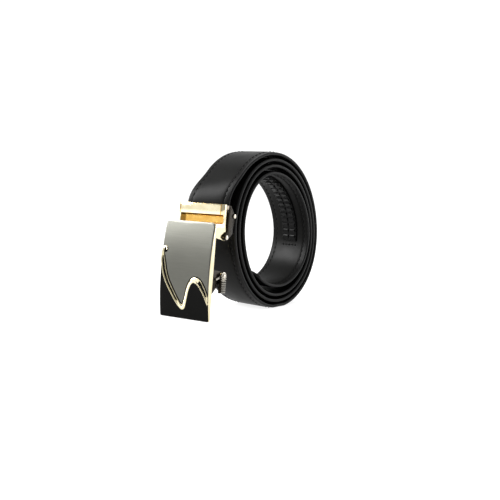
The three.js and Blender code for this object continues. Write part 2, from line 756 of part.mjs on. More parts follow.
function earOutline() {
  const back = CLAMP_FRONT + EAR_DEPTH;
  const boss = arcPoints(HINGE_Y, HINGE_Z, HINGE_BOSS, 135, 315, 8);
  return [
    ...boss, [back, CLAMP_LOW - EAR_DROP], [back, CLAMP_HIGH - EAR_SLOPE],
    [CLAMP_BACK, CLAMP_HIGH], [CLAMP_FRONT - EAR_LIP_TOP, CLAMP_HIGH],
    [CLAMP_FRONT - EAR_LIP_FOOT, CLAMP_LOW],
  ];
}

const KNUCKLE_RADIUS = FLAP_PIN_RADIUS + PIN_FIT + FLAP_KNUCKLE;
const FLAP_PIN_Y = STRAP_BACK + GAP + KNUCKLE_RADIUS;

function makeClamp() {
  const ears = [[-EAR_OUT, -EAR_IN], [EAR_IN, EAR_OUT]].map(([from, to]) => (
    acrossSolid(earOutline(), from, to)));
  const jaw = acrossSolid([[CLAMP_FRONT, CLAMP_LOW], [CLAMP_BACK, CLAMP_LOW], [CLAMP_BACK, CLAMP_HIGH],
    [CLAMP_FRONT, CLAMP_HIGH]], -EAR_OUT, EAR_OUT);
  const bores = [
    roundAcross(HINGE_Y, HINGE_Z, HINGE_RADIUS + PIN_FIT, -EAR_OUT - OVERCUT, EAR_OUT + OVERCUT),
    roundAcross(FLAP_PIN_Y, FLAP_PIN_Z, FLAP_PIN_RADIUS + PIN_FIT, -EAR_OUT - OVERCUT, EAR_OUT + OVERCUT),
  ];
  const clamp = bores.reduce((solid, bore) => solid.subtract(bore), unite([...ears, jaw]));
  return piece('clamp', toGeometry(clamp), GUNMETAL);
}

// A pin across the buckle with a round head outside each ear
function headedPin(name, y, z, radius) {
  const inside = EAR_OUT + GAP;
  const shank = roundAcross(y, z, radius, -inside, inside);
  const heads = [
    roundAcross(y, z, PIN_HEAD_RADIUS, -inside - PIN_HEAD_THICKNESS, -inside),
    roundAcross(y, z, PIN_HEAD_RADIUS, inside, inside + PIN_HEAD_THICKNESS),
  ];
  return piece(name, toGeometry(unite([shank, ...heads])), NICKEL);
}

function makeFlap() {
  const profile = [[FLAP_BACK, CLAMP_LOW], [FLAP_BACK, FLAP_TOP], [FLAP_FRONT, FLAP_TOP]];
  const pitch = (FLAP_TOP - CLAMP_LOW) / (FLAP_TEETH + 1);
  for (let i = FLAP_TEETH; i > 0; i -= 1) {
    const z = CLAMP_LOW + i * pitch;
    profile.push([FLAP_FRONT, z + FLAP_TOOTH], [STRAP_BACK + GAP, z], [FLAP_FRONT, z - FLAP_TOOTH_EDGE]);
  }
  profile.push([FLAP_FRONT, CLAMP_LOW]);
  const plate = acrossSolid(profile, -FLAP_WIDTH / 2, FLAP_WIDTH / 2);
  const half = FLAP_KNUCKLE_WIDTH / 2;
  const knuckle = roundAcross(FLAP_PIN_Y, FLAP_PIN_Z, KNUCKLE_RADIUS, -half, half);
  const neckLow = FLAP_TOP - FLAP_NECK;
  const neck = acrossSolid([[FLAP_FRONT, neckLow], [FLAP_BACK, neckLow],
    [FLAP_PIN_Y + KNUCKLE_RADIUS * NECK_SHARE, FLAP_PIN_Z], [FLAP_PIN_Y, FLAP_PIN_Z]], -half, half);
  const far = half + OVERCUT;
  const bore = roundAcross(FLAP_PIN_Y, FLAP_PIN_Z, FLAP_PIN_RADIUS + PIN_FIT, -far, far);
  return piece('clamp_flap', toGeometry(unite([plate, knuckle, neck]).subtract(bore)), GUNMETAL);
}

// Pawl, bracket and lever

function makeBracket() {
  const front = PLATE_BACK + GAP;
  const back = front + BRACKET_SHEET;
  const base = acrossSolid([[front, BRACKET_LOW], [back, BRACKET_LOW], [back, BRACKET_HIGH],
    [front, BRACKET_HIGH]], -CHEEK_OUT, CHEEK_OUT);
  const ear = [
    [front, BRACKET_LOW], [back, BRACKET_LOW],
    ...arcPoints(SHAFT_Y, SHAFT_Z, SHAFT_BOSS, -75, 90, 8),
    [front, BRACKET_HIGH],
  ];
  const ears = [[-CHEEK_OUT, -CHEEK_IN], [CHEEK_IN, CHEEK_OUT]].map(([from, to]) => (
    acrossSolid(ear, from, to)));
  const post = roundAcross(POST_PLACE.y, POST_PLACE.z, POST_RADIUS, CHEEK_IN, CHEEK_OUT + POST_HEIGHT);
  const bore = roundAcross(SHAFT_Y, SHAFT_Z, SHAFT_BORE, -CHEEK_OUT - OVERCUT, CHEEK_OUT + OVERCUT);
  return piece('pawl_bracket', toGeometry(unite([base, ...ears, post]).subtract(bore)), GUNMETAL);
}

function makeShaft() {
  const end = LEVER_IN + LEVER_THICKNESS;
  return piece('pawl_shaft', toGeometry(roundAcross(SHAFT_Y, SHAFT_Z, SHAFT_RADIUS, -EAR_IN, end)), NICKEL);
}

function makePawl() {
  const half = PAWL_WIDTH / 2;
  const wall = SHAFT_BORE + PAWL_WALL;
  const drop = Math.sqrt(PAWL_REACH ** 2 - (SHAFT_Y - PAWL_EDGE_Y) ** 2);
  const edge = [PAWL_EDGE_Y, SHAFT_Z - drop];
  const barrel = roundAcross(SHAFT_Y, SHAFT_Z, wall, -half, half);
  const blade = acrossSolid([edge, [edge[0] + PAWL_EDGE, edge[1]],
    [SHAFT_Y + PAWL_ROOT_BACK, SHAFT_Z - wall * PAWL_ROOT_DROP],
    [SHAFT_Y - wall * PAWL_ROOT_FRONT, SHAFT_Z]], -half, half);
  const bore = roundAcross(SHAFT_Y, SHAFT_Z, SHAFT_BORE, -half - OVERCUT, half + OVERCUT);
  return piece('ratchet_pawl', toGeometry(unite([barrel, blade]).subtract(bore)), NICKEL);
}

// The ribbed grip: ridges run front to back on its outer face
function gripSolid() {
  const outside = LEVER_IN + LEVER_THICKNESS;
  const pitch = (SHAFT_Z - LEVER_LOW) / LEVER_RIBS;
  const points = [[LEVER_IN, SHAFT_Z], [LEVER_IN, LEVER_LOW]];
  for (let i = 0; i < LEVER_RIBS; i += 1) {
    const low = LEVER_LOW + i * pitch;
    points.push([outside - RIB_HEIGHT, low + pitch * RIB_FOOT], [outside, low + pitch * RIB_TOP],
      [outside, low + pitch * (1 - RIB_TOP)], [outside - RIB_HEIGHT, low + pitch * (1 - RIB_FOOT)]);
  }
  points.push([outside - RIB_HEIGHT, SHAFT_Z]);
  return backwardSolid(points, LEVER_FRONT, LEVER_FRONT + LEVER_DEPTH);
}

function makeLever() {
  const outside = LEVER_IN + LEVER_THICKNESS;
  const boss = roundAcross(SHAFT_Y, SHAFT_Z, SHAFT_BOSS, LEVER_IN, outside - RIB_HEIGHT);
  const run = new THREE.Vector2(ARM_END.y - SHAFT_Y, ARM_END.z - SHAFT_Z).normalize();
  const side = new THREE.Vector2(-run.y, run.x).multiplyScalar(ARM_WIDTH / 2);
  const arm = acrossSolid([
    [SHAFT_Y + side.x, SHAFT_Z + side.y], [ARM_END.y + side.x, ARM_END.z + side.y],
    [ARM_END.y - side.x, ARM_END.z - side.y], [SHAFT_Y - side.x, SHAFT_Z - side.y],
  ], LEVER_IN, LEVER_IN + ARM_THICKNESS);
  const bore = roundAcross(SHAFT_Y, SHAFT_Z, SHAFT_BORE, LEVER_IN - OVERCUT, outside + OVERCUT);
  const lever = unite([gripSolid(), boss, arm]).subtract(bore);
  return piece('release_lever', toGeometry(lever), NICKEL);
}

whole.add(makeStrap(), makeTrack());
buckle.add(makeFrame(), ...makeFace());
buckle.add(makeClamp(), makeFlap());
buckle.add(headedPin('hinge_pin', HINGE_Y, HINGE_Z, HINGE_RADIUS));
buckle.add(headedPin('flap_pin', FLAP_PIN_Y, FLAP_PIN_Z, FLAP_PIN_RADIUS));
buckle.add(makeBracket(), makeShaft(), makePawl(), makeLever());

// The buckle faces -Y squarely, and the origin is the middle of the part's box, on the floor
whole.rotation.z = -radians(BUCKLE_YAW);
const box = new THREE.Box3().setFromObject(whole, true);
const middle = box.getCenter(new THREE.Vector3());
whole.position.set(-middle.x, -middle.y, -box.min.z);

export default whole;
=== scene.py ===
# The ratchet belt's look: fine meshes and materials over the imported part, its lights and its camera.
import json
import math
import bpy
import bmesh
from mathutils import Matrix, Vector

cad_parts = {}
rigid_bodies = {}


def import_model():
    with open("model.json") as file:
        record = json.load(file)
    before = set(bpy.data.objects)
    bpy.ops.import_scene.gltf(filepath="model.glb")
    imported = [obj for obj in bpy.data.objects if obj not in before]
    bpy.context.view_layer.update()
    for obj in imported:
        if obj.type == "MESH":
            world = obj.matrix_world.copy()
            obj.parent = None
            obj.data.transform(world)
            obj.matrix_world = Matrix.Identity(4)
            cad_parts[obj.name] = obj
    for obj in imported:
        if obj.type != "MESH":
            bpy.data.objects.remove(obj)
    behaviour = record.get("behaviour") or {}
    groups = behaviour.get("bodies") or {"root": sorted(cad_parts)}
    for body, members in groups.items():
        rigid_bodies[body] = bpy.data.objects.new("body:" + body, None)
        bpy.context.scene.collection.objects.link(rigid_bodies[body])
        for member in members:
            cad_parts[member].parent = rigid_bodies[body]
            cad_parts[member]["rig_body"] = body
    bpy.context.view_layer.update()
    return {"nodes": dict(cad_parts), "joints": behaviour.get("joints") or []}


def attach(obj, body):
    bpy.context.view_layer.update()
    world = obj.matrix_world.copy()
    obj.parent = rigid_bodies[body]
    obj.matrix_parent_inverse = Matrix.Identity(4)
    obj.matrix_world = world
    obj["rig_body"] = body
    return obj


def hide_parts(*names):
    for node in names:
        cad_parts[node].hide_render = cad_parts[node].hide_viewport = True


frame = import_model()

MM = 0.001

# Sizes that the part's source uses too, in millimetres and degrees
STRAP_THICKNESS = 2.9
COIL_RADIUS = 57.4
COIL_FLATTEN = 0.057
COIL_LEAN = 0.041
FIRST_TURN_CLOSING = 2.75 * STRAP_THICKNESS
FLOOR_DENT = 0.5
RESTING_FROM = 0.5
TIP_ANGLE = 1391
FIRST_TURN_END = 380
# Degrees of winding, and the gap to the turn outside it there, in strap thicknesses
TURN_GAPS = [
    (FIRST_TURN_END, 1.75), (450, 0.48), (540, 0.12), (630, 0.42), (720, 0.44), (810, 0.48), (900, 0.12),
    (990, 0.48), (1080, 0.62), (1170, 0.8), (1260, 0.12), (1350, 1.3), (TIP_ANGLE, 0.62),
]
# Degrees before the tip, and the share of its width that the strap has there
TIP_TAPER = [
    (12, 1), (9, 0.99), (7, 0.95), (5, 0.9), (3.5, 0.83), (2.2, 0.75), (1.2, 0.66), (0.5, 0.57), (0, 0.5),
]
FIT = 0.3
TRACK_WIDTH = 13.2
TRACK_BASE = 0.6
TOOTH_HEIGHT = 0.9
TOOTH_PITCH = 5
TRACK_GROOVE = 1.8
TRACK_FROM = 985
TRACK_TO = 1273
BUCKLE_YAW = 8.3
BUCKLE_LEAN = 5.8
BUCKLE_SIDE = -1.5
HINGE_AHEAD = 58.556
LIFT_DEGREES = 26
HINGE_Y = 13.7
HINGE_Z = 23.5
STRAP_MIDDLE_Y = 18.55
STRAP_END = 26
CLAMP_HIGH = 45
PLATE_WIDTH = 39.8
PLATE_LENGTH = 65.4
PLATE_ARCH = 3.2
PLATE_TOP_CORNER = 3
PLATE_FOOT_CORNER = 0.8
PANEL_THICKNESS = 0.6
WAVE_PROUD = 0.7


def smooth(t):
    s = min(max(t, 0), 1)
    return s * s * (3 - 2 * s)


def mix(a, b, t):
    return a + (b - a) * t


# Where the coil and the buckle stand

def outer_radius(angle):
    if angle > FIRST_TURN_END:
        return outer_radius(angle - 360) - STRAP_THICKNESS * (1 + table_value(TURN_GAPS, angle))
    t = math.radians(angle)
    oval = 1 - COIL_FLATTEN * math.cos(2 * t) + COIL_LEAN * math.sin(2 * t)
    return COIL_RADIUS * oval - FIRST_TURN_CLOSING * angle / 360


def table_value(rows, at):
    if at <= rows[0][0]:
        return rows[0][1]
    for (low, a), (high, b) in zip(rows, rows[1:]):
        if at <= high:
            return mix(a, b, smooth((at - low) / (high - low)))
    return rows[-1][1]


COIL_MIDDLE_Z = max(-outer_radius(a) * math.sin(math.radians(a)) for a in range(180, 361)) - FLOOR_DENT


def resting_radius(angle):
    radius = outer_radius(angle)
    down = -math.sin(math.radians(angle))
    if angle > FIRST_TURN_END or down < RESTING_FROM:
        return radius
    return min(radius, COIL_MIDDLE_Z / down)


HINGE = Vector(frame["joints"][0]["pos_m"]) / MM
BUCKLE = Matrix.Translation(HINGE) @ Matrix.Rotation(-math.radians(BUCKLE_LEAN), 4, "X") @ Matrix.Translation(
    (0, -HINGE_Y, -HINGE_Z))
YAW = Matrix.Rotation(math.radians(BUCKLE_YAW), 4, "Z")
# The coil's own frame stands on the floor and holds the hinge at a known place
COIL = Matrix.Translation((HINGE.x, HINGE.y, 0)) @ YAW.inverted() @ Matrix.Translation(
    (-BUCKLE_SIDE, HINGE_AHEAD, 0))
BUCKLE_IN_COIL = COIL.inverted() @ BUCKLE


def from_buckle(x, y, z):
    return BUCKLE_IN_COIL @ Vector((x, y, z))


CLAMP_ACROSS = from_buckle(1, 0, 0) - from_buckle(0, 0, 0)
CLAMP_UP = from_buckle(0, 0, 1) - from_buckle(0, 0, 0)
CLAMP_ORIGIN = from_buckle(0, STRAP_MIDDLE_Y, 0)
CLAMP_MOUTH = from_buckle(0, STRAP_MIDDLE_Y, CLAMP_HIGH)


def angle_of(point):
    return math.degrees(math.atan2(point.z - COIL_MIDDLE_Z, -point.y))


def radius_inside(angle):
    return resting_radius(angle) - STRAP_THICKNESS / 2


SEARCH_END = 80
SEARCH_STEP = 0.25


def angle_at_height(height):
    """Winding angle at which the outer turn's middle line has a height above the coil's middle."""
    angle = 0
    while radius_inside(angle) * math.sin(math.radians(angle)) < height and angle < SEARCH_END:
        angle += SEARCH_STEP
    return angle


START_ANGLE = angle_of(from_buckle(0, STRAP_MIDDLE_Y, STRAP_END))
MOUTH_ANGLE = angle_at_height(CLAMP_MOUTH.z - COIL_MIDDLE_Z)


def clamp_line_at(angle):
    """Radius and place across where a ray from the coil's middle crosses the clamp's middle line."""
    t = math.radians(angle)
    ray = Vector((-math.cos(t), math.sin(t)))
    start = Vector((CLAMP_ORIGIN.y, CLAMP_ORIGIN.z - COIL_MIDDLE_Z))
    up = Vector((CLAMP_UP.y, CLAMP_UP.z))
    height = -(ray.x * start.y - ray.y * start.x) / (ray.x * up.y - ray.y * up.x)
    return (start + up * height).dot(ray), CLAMP_ORIGIN.x + CLAMP_UP.x * height


def line_standoff(angle):
    return clamp_line_at(angle)[0] - radius_inside(angle)


MOUTH_STANDOFF = line_standoff(MOUTH_ANGLE)
MOUTH_SLOPE = (MOUTH_STANDOFF - line_standoff(MOUTH_ANGLE - 1)) * LIFT_DEGREES


def standoff_at(angle):
    """How far the strap's middle line lies outside the coil's curve after the clamp's mouth."""
    u = min((angle - MOUTH_ANGLE) / LIFT_DEGREES, 1)
    return MOUTH_STANDOFF * (2 * u ** 3 - 3 * u ** 2 + 1) + MOUTH_SLOPE * (u ** 3 - 2 * u ** 2 + u)


def settled(angle):
    return smooth((angle - MOUTH_ANGLE) / LIFT_DEGREES)


def middle_point(angle, inward=STRAP_THICKNESS / 2):
    t = math.radians(angle)
    straight, side = clamp_line_at(min(angle, MOUTH_ANGLE + LIFT_DEGREES))
    if angle < MOUTH_ANGLE:
        radius = straight
    else:
        radius = resting_radius(angle) - inward + standoff_at(angle)
    x = mix(side, 0, settled(angle))
    return Vector((x, -radius * math.cos(t), COIL_MIDDLE_Z + radius * math.sin(t)))


def strap_place(angle):
    point = middle_point(angle)
    along = (middle_point(angle + 0.5) - middle_point(angle - 0.5)).normalized()
    across = CLAMP_ACROSS.lerp(Vector((1, 0, 0)), settled(angle)).normalized()
    out = -along.cross(across).normalized()
    return point, across, out, along


# Meshes

def new_object(name, vertices, faces, materials, matrix, face_slots=None, smooth_faces=True):
    mesh = bpy.data.meshes.new(name)
    mesh.from_pydata([matrix @ Vector(v) * MM for v in vertices], [], faces)
    for material in materials:
        mesh.materials.append(material)
    if face_slots:
        mesh.polygons.foreach_set("material_index", face_slots)
    mesh.polygons.foreach_set("use_smooth", [smooth_faces] * len(mesh.polygons))
    mesh.update()
    piece = bpy.data.objects.new(name, mesh)
    bpy.context.scene.collection.objects.link(piece)
    return piece


def outward(piece):
    work = bmesh.new()
    work.from_mesh(piece.data)
    bmesh.ops.recalc_face_normals(work, faces=work.faces)
    work.to_mesh(piece.data)
    work.free()


def loft(rings):
    """Vertices and faces of rings of points joined in order, with both ends filled."""
    count = len(rings[0])
    vertices = [p for ring in rings for p in ring]
    faces = []
    for i in range(len(rings) - 1):
        for k in range(count):
            a = i * count + k
            b = i * count + (k + 1) % count
            faces.append((a, b, b + count, a + count))
    end = (len(rings) - 1) * count
    faces.append(tuple(range(count)))
    faces.append(tuple(end + k for k in reversed(range(count))))
    return vertices, faces


def apply_modifiers(piece):
    graph = bpy.context.evaluated_depsgraph_get()
    mesh = bpy.data.meshes.new_from_object(piece.evaluated_get(graph))
    piece.modifiers.clear()
    piece.data = mesh


def ease_edges(node, material, width, segments=2):
    """A copy of a CAD node with its edges rounded, which stands for the node."""
    source = frame["nodes"][node]
    mesh = source.data.copy()
    work = bmesh.new()
    work.from_mesh(mesh)
    bmesh.ops.remove_doubles(work, verts=work.verts, dist=0.002 * MM)
    bmesh.ops.dissolve_limit(work, angle_limit=math.radians(0.5), verts=work.verts, edges=work.edges)
    work.to_mesh(mesh)
    work.free()
    piece = bpy.data.objects.new(node + "_finish", mesh)
    bpy.context.scene.collection.objects.link(piece)
    mesh.materials.clear()
    mesh.materials.append(material)
    bevel = piece.modifiers.new("edges", "BEVEL")
    bevel.width = width * MM
    bevel.segments = segments
    bevel.limit_method = "ANGLE"
    bevel.angle_limit = math.radians(30)
    bevel.use_clamp_overlap = True
    apply_modifiers(piece)
    piece.data.polygons.foreach_set("use_smooth", [True] * len(piece.data.polygons))
    piece.data.set_sharp_from_angle(angle=math.radians(35))
    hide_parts(node)
    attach(piece, source["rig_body"])
    return piece


# The space behind the keeper bar, in the buckle's own frame
KEEPER_HALF = 17
KEEPER_FRONT = 9.4
KEEPER_LOW = 28


def shade_keeper():
    """Painted shade: a deeper, darker gold on the frame's faces that look out through the keeper from behind
    it.
    """
    frame_piece = bpy.data.objects["buckle_frame_finish"]
    frame_piece.data.materials.append(KEEPER_SHADE_GOLD)
    to_buckle = BUCKLE.inverted()
    turn = to_buckle.to_3x3()
    for face in frame_piece.data.polygons:
        centre = to_buckle @ (frame_piece.matrix_world @ face.center / MM)
        normal = turn @ face.normal
        inside = abs(centre.x) < KEEPER_HALF and centre.z > KEEPER_LOW and KEEPER_FRONT < centre.y
        if inside and normal.y < -0.3:
            face.material_index = 1


# The grip's ribbed side, in the buckle's own frame
GRIP_SIDE = 21.7
GRIP_TOP = -5.6
RIB_HEIGHT = 0.6


def shade_grip_grooves():
    """Painted shade: dark metal in the grooves between the ribs of the lever's grip, and on its front end."""
    lever = bpy.data.objects["release_lever_finish"]
    # The clamp's dark metal, used on the lever as painted shade
    lever.data.materials.append(GUNMETAL_AND_SHADE)
    to_buckle = BUCKLE.inverted()
    turn = to_buckle.to_3x3()
    for face in lever.data.polygons:
        centre = to_buckle @ (lever.matrix_world @ face.center / MM)
        groove = GRIP_SIDE - RIB_HEIGHT - 0.05 < centre.x < GRIP_SIDE - RIB_HEIGHT / 2
        front = (turn @ face.normal).y < -0.9
        if centre.z < GRIP_TOP and (groove or front):
            face.material_index = 1


# Materials

def material(name, colour, roughness, metallic=0.0, coat=0.0, specular=0.5):
    new = bpy.data.materials.new(name)
    new.use_nodes = True
    shader = new.node_tree.nodes["Principled BSDF"]
    shader.inputs["Base Color"].default_value = (*colour, 1)
    shader.inputs["Roughness"].default_value = roughness
    shader.inputs["Metallic"].default_value = metallic
    shader.inputs["Coat Weight"].default_value = coat
    shader.inputs["Coat Roughness"].default_value = 0.15
    shader.inputs["Specular IOR Level"].default_value = specular
    return new


def add(mat, kind, **inputs):
    node = mat.node_tree.nodes.new(kind)
    for key, value in inputs.items():
        node.inputs[key.replace("_", " ")].default_value = value
    return node


def link(mat, start, start_name, end, end_name):
    mat.node_tree.links.new(start.outputs[start_name], end.inputs[end_name])


def coordinates(mat, scale):
    place = mat.node_tree.nodes.new("ShaderNodeTexCoord")
    mapping = mat.node_tree.nodes.new("ShaderNodeMapping")
    mapping.inputs["Scale"].default_value = scale
    link(mat, place, "Object", mapping, "Vector")
    return mapping


def vary(mat, source, socket, low, high, from_low=0.3, from_high=0.7):
    """Drives a shader socket from a texture, between two values."""
    spread = add(mat, "ShaderNodeMapRange", From_Min=from_low, From_Max=from_high, To_Min=low, To_Max=high)
    link(mat, source, "Fac", spread, "Value")
    link(mat, spread, "Result", mat.node_tree.nodes["Principled BSDF"], socket)


def colour_vary(mat, source, low, high):
    ramp = mat.node_tree.nodes.new("ShaderNodeValToRGB")
    ramp.color_ramp.elements[0].position = 0.3
    ramp.color_ramp.elements[0].color = (*low, 1)
    ramp.color_ramp.elements[1].position = 0.7
    ramp.color_ramp.elements[1].color = (*high, 1)
    link(mat, source, "Fac", ramp, "Fac")
    link(mat, ramp, "Color", mat.node_tree.nodes["Principled BSDF"], "Base Color")


def bump(mat, source, output, distance, strength=1.0, previous=None):
    node = add(mat, "ShaderNodeBump", Distance=distance * MM, Strength=strength)
    link(mat, source, output, node, "Height")
    if previous:
        link(mat, previous, "Normal", node, "Normal")
    link(mat, node, "Normal", mat.node_tree.nodes["Principled BSDF"], "Normal")
    return node


def noise(mat, mapping, scale, detail=4.0, rough=0.55):
    node = add(mat, "ShaderNodeTexNoise", Scale=scale, Detail=detail, Roughness=rough)
    link(mat, mapping, "Vector", node, "Vector")
    return node


def leather_material(name, colour, light, roughness, grain, specular):
    mat = material(name, colour, roughness, specular=specular)
    place = coordinates(mat, (1, 1, 1))
    cells = add(mat, "ShaderNodeTexVoronoi", Scale=1400.0)
    cells.feature = "DISTANCE_TO_EDGE"
    link(mat, place, "Vector", cells, "Vector")
    patches = noise(mat, place, 60)
    fine = noise(mat, place, 2200)
    colour_vary(mat, patches, colour, light)
    vary(mat, patches, "Roughness", roughness - 0.05, roughness + 0.07)
    first = bump(mat, cells, "Distance", grain, 0.5)
    bump(mat, fine, "Fac", grain * 0.5, 0.5, first)
    return mat


def brushed_material(name, low, high, roughness):
    mat = material(name, low, roughness, metallic=1.0)
    lines = coordinates(mat, (60, 60, 9000))
    streaks = noise(mat, lines, 1, 6.0, 0.7)
    broad = noise(mat, coordinates(mat, (25, 25, 25)), 1)
    colour_vary(mat, streaks, low, high)
    vary(mat, broad, "Roughness", roughness - 0.04, roughness + 0.06)
    bump(mat, streaks, "Fac", 0.004, 0.6)
    return mat


def polished_material(name, colour, light, roughness):
    mat = material(name, colour, roughness, metallic=1.0)
    place = coordinates(mat, (1, 1, 1))
    haze = noise(mat, place, 180)
    colour_vary(mat, haze, colour, light)
    vary(mat, haze, "Roughness", roughness * 0.7, roughness * 1.5)
    bump(mat, noise(mat, place, 700), "Fac", 0.003, 0.3)
    return mat


def enamel_material(name, colour, light, roughness, specular):
    mat = material(name, colour, roughness, specular=specular)
    haze = noise(mat, coordinates(mat, (1, 1, 1)), 90)
    colour_vary(mat, haze, colour, light)
    vary(mat, haze, "Roughness", roughness * 0.8, roughness * 1.3)
    return mat


def thread_material(name, colour, light):
    mat = material(name, colour, 0.6, specular=0.1)
    twist = add(mat, "ShaderNodeTexWave", Scale=900.0, Distortion=1.5)
    link(mat, coordinates(mat, (1, 1, 1)), "Vector", twist, "Vector")
    colour_vary(mat, twist, colour, light)
    bump(mat, twist, "Fac", 0.05, 0.6)
    return mat


LEATHER = leather_material("leather", (0.0014, 0.0014, 0.0012), (0.0026, 0.0026, 0.0023), 0.4, 0.05, 0.065)
EDGE = leather_material("edge_paint", (0.003, 0.003, 0.003), (0.005, 0.005, 0.005), 0.36, 0.02, 0.16)
THREAD = thread_material("thread", (0.001, 0.001, 0.001), (0.004, 0.004, 0.004))
TRACK = leather_material("track_plastic", (0.001, 0.001, 0.001), (0.002, 0.002, 0.002), 0.32, 0.01, 0.08)
GOLD = polished_material("pale_gold", (0.82, 0.72, 0.46), (0.9, 0.82, 0.59), 0.12)
WAVE_GOLD = polished_material("wave_gold", (0.72, 0.65, 0.42), (0.8, 0.73, 0.52), 0.14)
# Painted shade: a deeper, darker gold for the frame's faces in the recess behind the keeper bar
KEEPER_SHADE_GOLD = polished_material("keeper_shade_gold", (0.8, 0.45, 0.1), (0.9, 0.58, 0.17), 0.16)
BRUSHED = brushed_material("brushed_grey", (0.098, 0.098, 0.086), (0.132, 0.132, 0.116), 0.36)
# Black enamel, also the painted shade along the wave's upper edge
BLACK = enamel_material("black_enamel_and_shade", (0.0005, 0.0005, 0.0005), (0.001, 0.001, 0.001), 0.12, 0.04)
SMOKE = enamel_material("smoke_enamel", (0.0012, 0.0012, 0.001), (0.002, 0.002, 0.0016), 0.15, 0.06)
# Dark metal of the clamp, also the painted shade in the lever grip's grooves and on its front end
GUNMETAL_AND_SHADE = polished_material("gunmetal", (0.02, 0.017, 0.013), (0.035, 0.03, 0.024), 0.24)
NICKEL = polished_material("pale_nickel", (0.62, 0.57, 0.47), (0.74, 0.69, 0.6), 0.16)
STEEL = polished_material("lever_steel", (0.36, 0.34, 0.29), (0.46, 0.43, 0.38), 0.2)


# Strap

# Half of the fine section's outer face: distance from the middle across, and out from the middle
OUTER_HALF = [
    (17.3, 0.3), (17.24, 0.62), (17.06, 0.86), (16.75, 1.02), (16.2, 1.1),
    (15.1, 1.15), (14.1, 1.19), (13.8, 1.18), (13.5, 1.13), (13.0, 1.14),
    (12.7, 1.24), (12.3, 1.32), (11.6, 1.38), (10.2, 1.43), (6, 1.45),
]
EDGE_POINTS = 4
STITCH_X = 13.25
STITCH_PITCH = 3.9
STITCH_LENGTH = 2.6
STITCH_RADIUS = 0.43
STITCH_LIFT = 1.16
# Seams are sewn only where they can be seen, in degrees of winding
OUTER_SEAM_END = 384
INNER_SEAM_START = 1035
END_ROW_AFTER = 4.4
END_ROW_STITCHES = 5
END_ROW_LENGTH = 1.8
END_ROW_RADIUS = 0.6
TRACK_MARGIN = 1.3
TOOTH_STARTS = 0.06
TOOTH_STOPS = 0.04
TOOTH_SINK = 0.1
TOOTH_EASE = 0.15
TOOTH_BACK_EASE = 0.08
STRAP_STEP = 1.5


def fine_section(width):
    side = [(x * width, y) for x, y in OUTER_HALF]
    top = side + [(0, STRAP_THICKNESS / 2)] + [(-x, y) for x, y in reversed(side)]
    return top + [(x, -y) for x, y in reversed(top)]


def strap_angles():
    angles = [(START_ANGLE, 1), (MOUTH_ANGLE, 1)]
    end = TIP_ANGLE - TIP_TAPER[0][0]
    angle = MOUTH_ANGLE + STRAP_STEP
    while angle < end - 0.5:
        angles.append((angle, 1))
        angle += STRAP_STEP
    return angles + [(TIP_ANGLE - before, width) for before, width in TIP_TAPER]


def make_strap():
    rings = []
    for angle, width in strap_angles():
        point, across, out, _ = strap_place(angle)
        rings.append([point + across * x + out * y for x, y in fine_section(width)])
    vertices, faces = loft(rings)
    count = len(rings[0])
    quarter = EDGE_POINTS
    half = count // 2
    slots = []
    for i in range(len(rings) - 1):
        for k in range(count):
            near = k < quarter or k >= count - quarter - 1 or half - quarter - 1 <= k < half + quarter
            slots.append(1 if near else 0)
    slots += [1, 1]
    piece = new_object("strap_leather", vertices, faces, [LEATHER, EDGE], COIL, slots)
    outward(piece)
    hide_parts("strap")
    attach(piece, "strap")


def capsule(centre, along, across, out, length, radius):
    """A small stitch: an ellipsoid along one direction."""
    rings = []
    for i in range(1, 6):
        t = math.pi * i / 6
        place = centre - along * (math.cos(t) * length / 2)
        size = math.sin(t) * radius
        rings.append([place + across * (size * math.cos(a)) + out * (size * math.sin(a))
                      for a in (2 * math.pi * k / 7 for k in range(7))])
    return loft(rings)


def gather(parts):
    vertices = []
    faces = []
    for part_vertices, part_faces in parts:
        base = len(vertices)
        vertices.extend(part_vertices)
        faces.extend(tuple(base + i for i in face) for face in part_faces)
    return vertices, faces


def stitch_run(start, end, x, lift, pitch, slant=0.12):
    """Stitches along the strap at one distance across, raised by lift from its middle."""
    parts = []
    angle = start
    while angle < end:
        point, across, out, along = strap_place(angle)
        centre = point + across * x + out * lift
        lean = (along + across * slant).normalized()
        side = out.cross(lean).normalized()
        parts.append(capsule(centre, lean, side, out, STITCH_LENGTH * pitch / STITCH_PITCH, STITCH_RADIUS))
        radius = max(resting_radius(angle) + lift, 20)
        angle += math.degrees(pitch / radius)
    return parts


def make_stitches():
    parts = []
    for x in (-STITCH_X, STITCH_X):
        parts += stitch_run(MOUTH_ANGLE + 6, OUTER_SEAM_END, x, STITCH_LIFT, STITCH_PITCH)
        parts += stitch_run(INNER_SEAM_START, TIP_ANGLE - 14, x, -STITCH_LIFT, STITCH_PITCH)
    vertices, faces = gather(parts)
    piece = new_object("stitching", vertices, faces, [THREAD], COIL)
    outward(piece)
    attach(piece, "strap")


def inner_point(angle, depth, x):
    point = middle_point(angle, STRAP_THICKNESS + FIT + depth)
    return Vector((x, point.y, point.z))


def tooth_profile(start, step):
    """A tooth seen from the side: degrees of winding, and height from the strap's face."""
    low = start + step * TOOTH_STARTS
    high = start + step - step * TOOTH_STOPS
    top = TRACK_BASE + TOOTH_HEIGHT
    foot = TRACK_BASE - TOOTH_SINK
    return [(low, foot), (low + step * 0.05, top - TOOTH_EASE), (low + step * 0.14, top),
            (low + step * 0.22, top - TOOTH_BACK_EASE), (high, foot)]


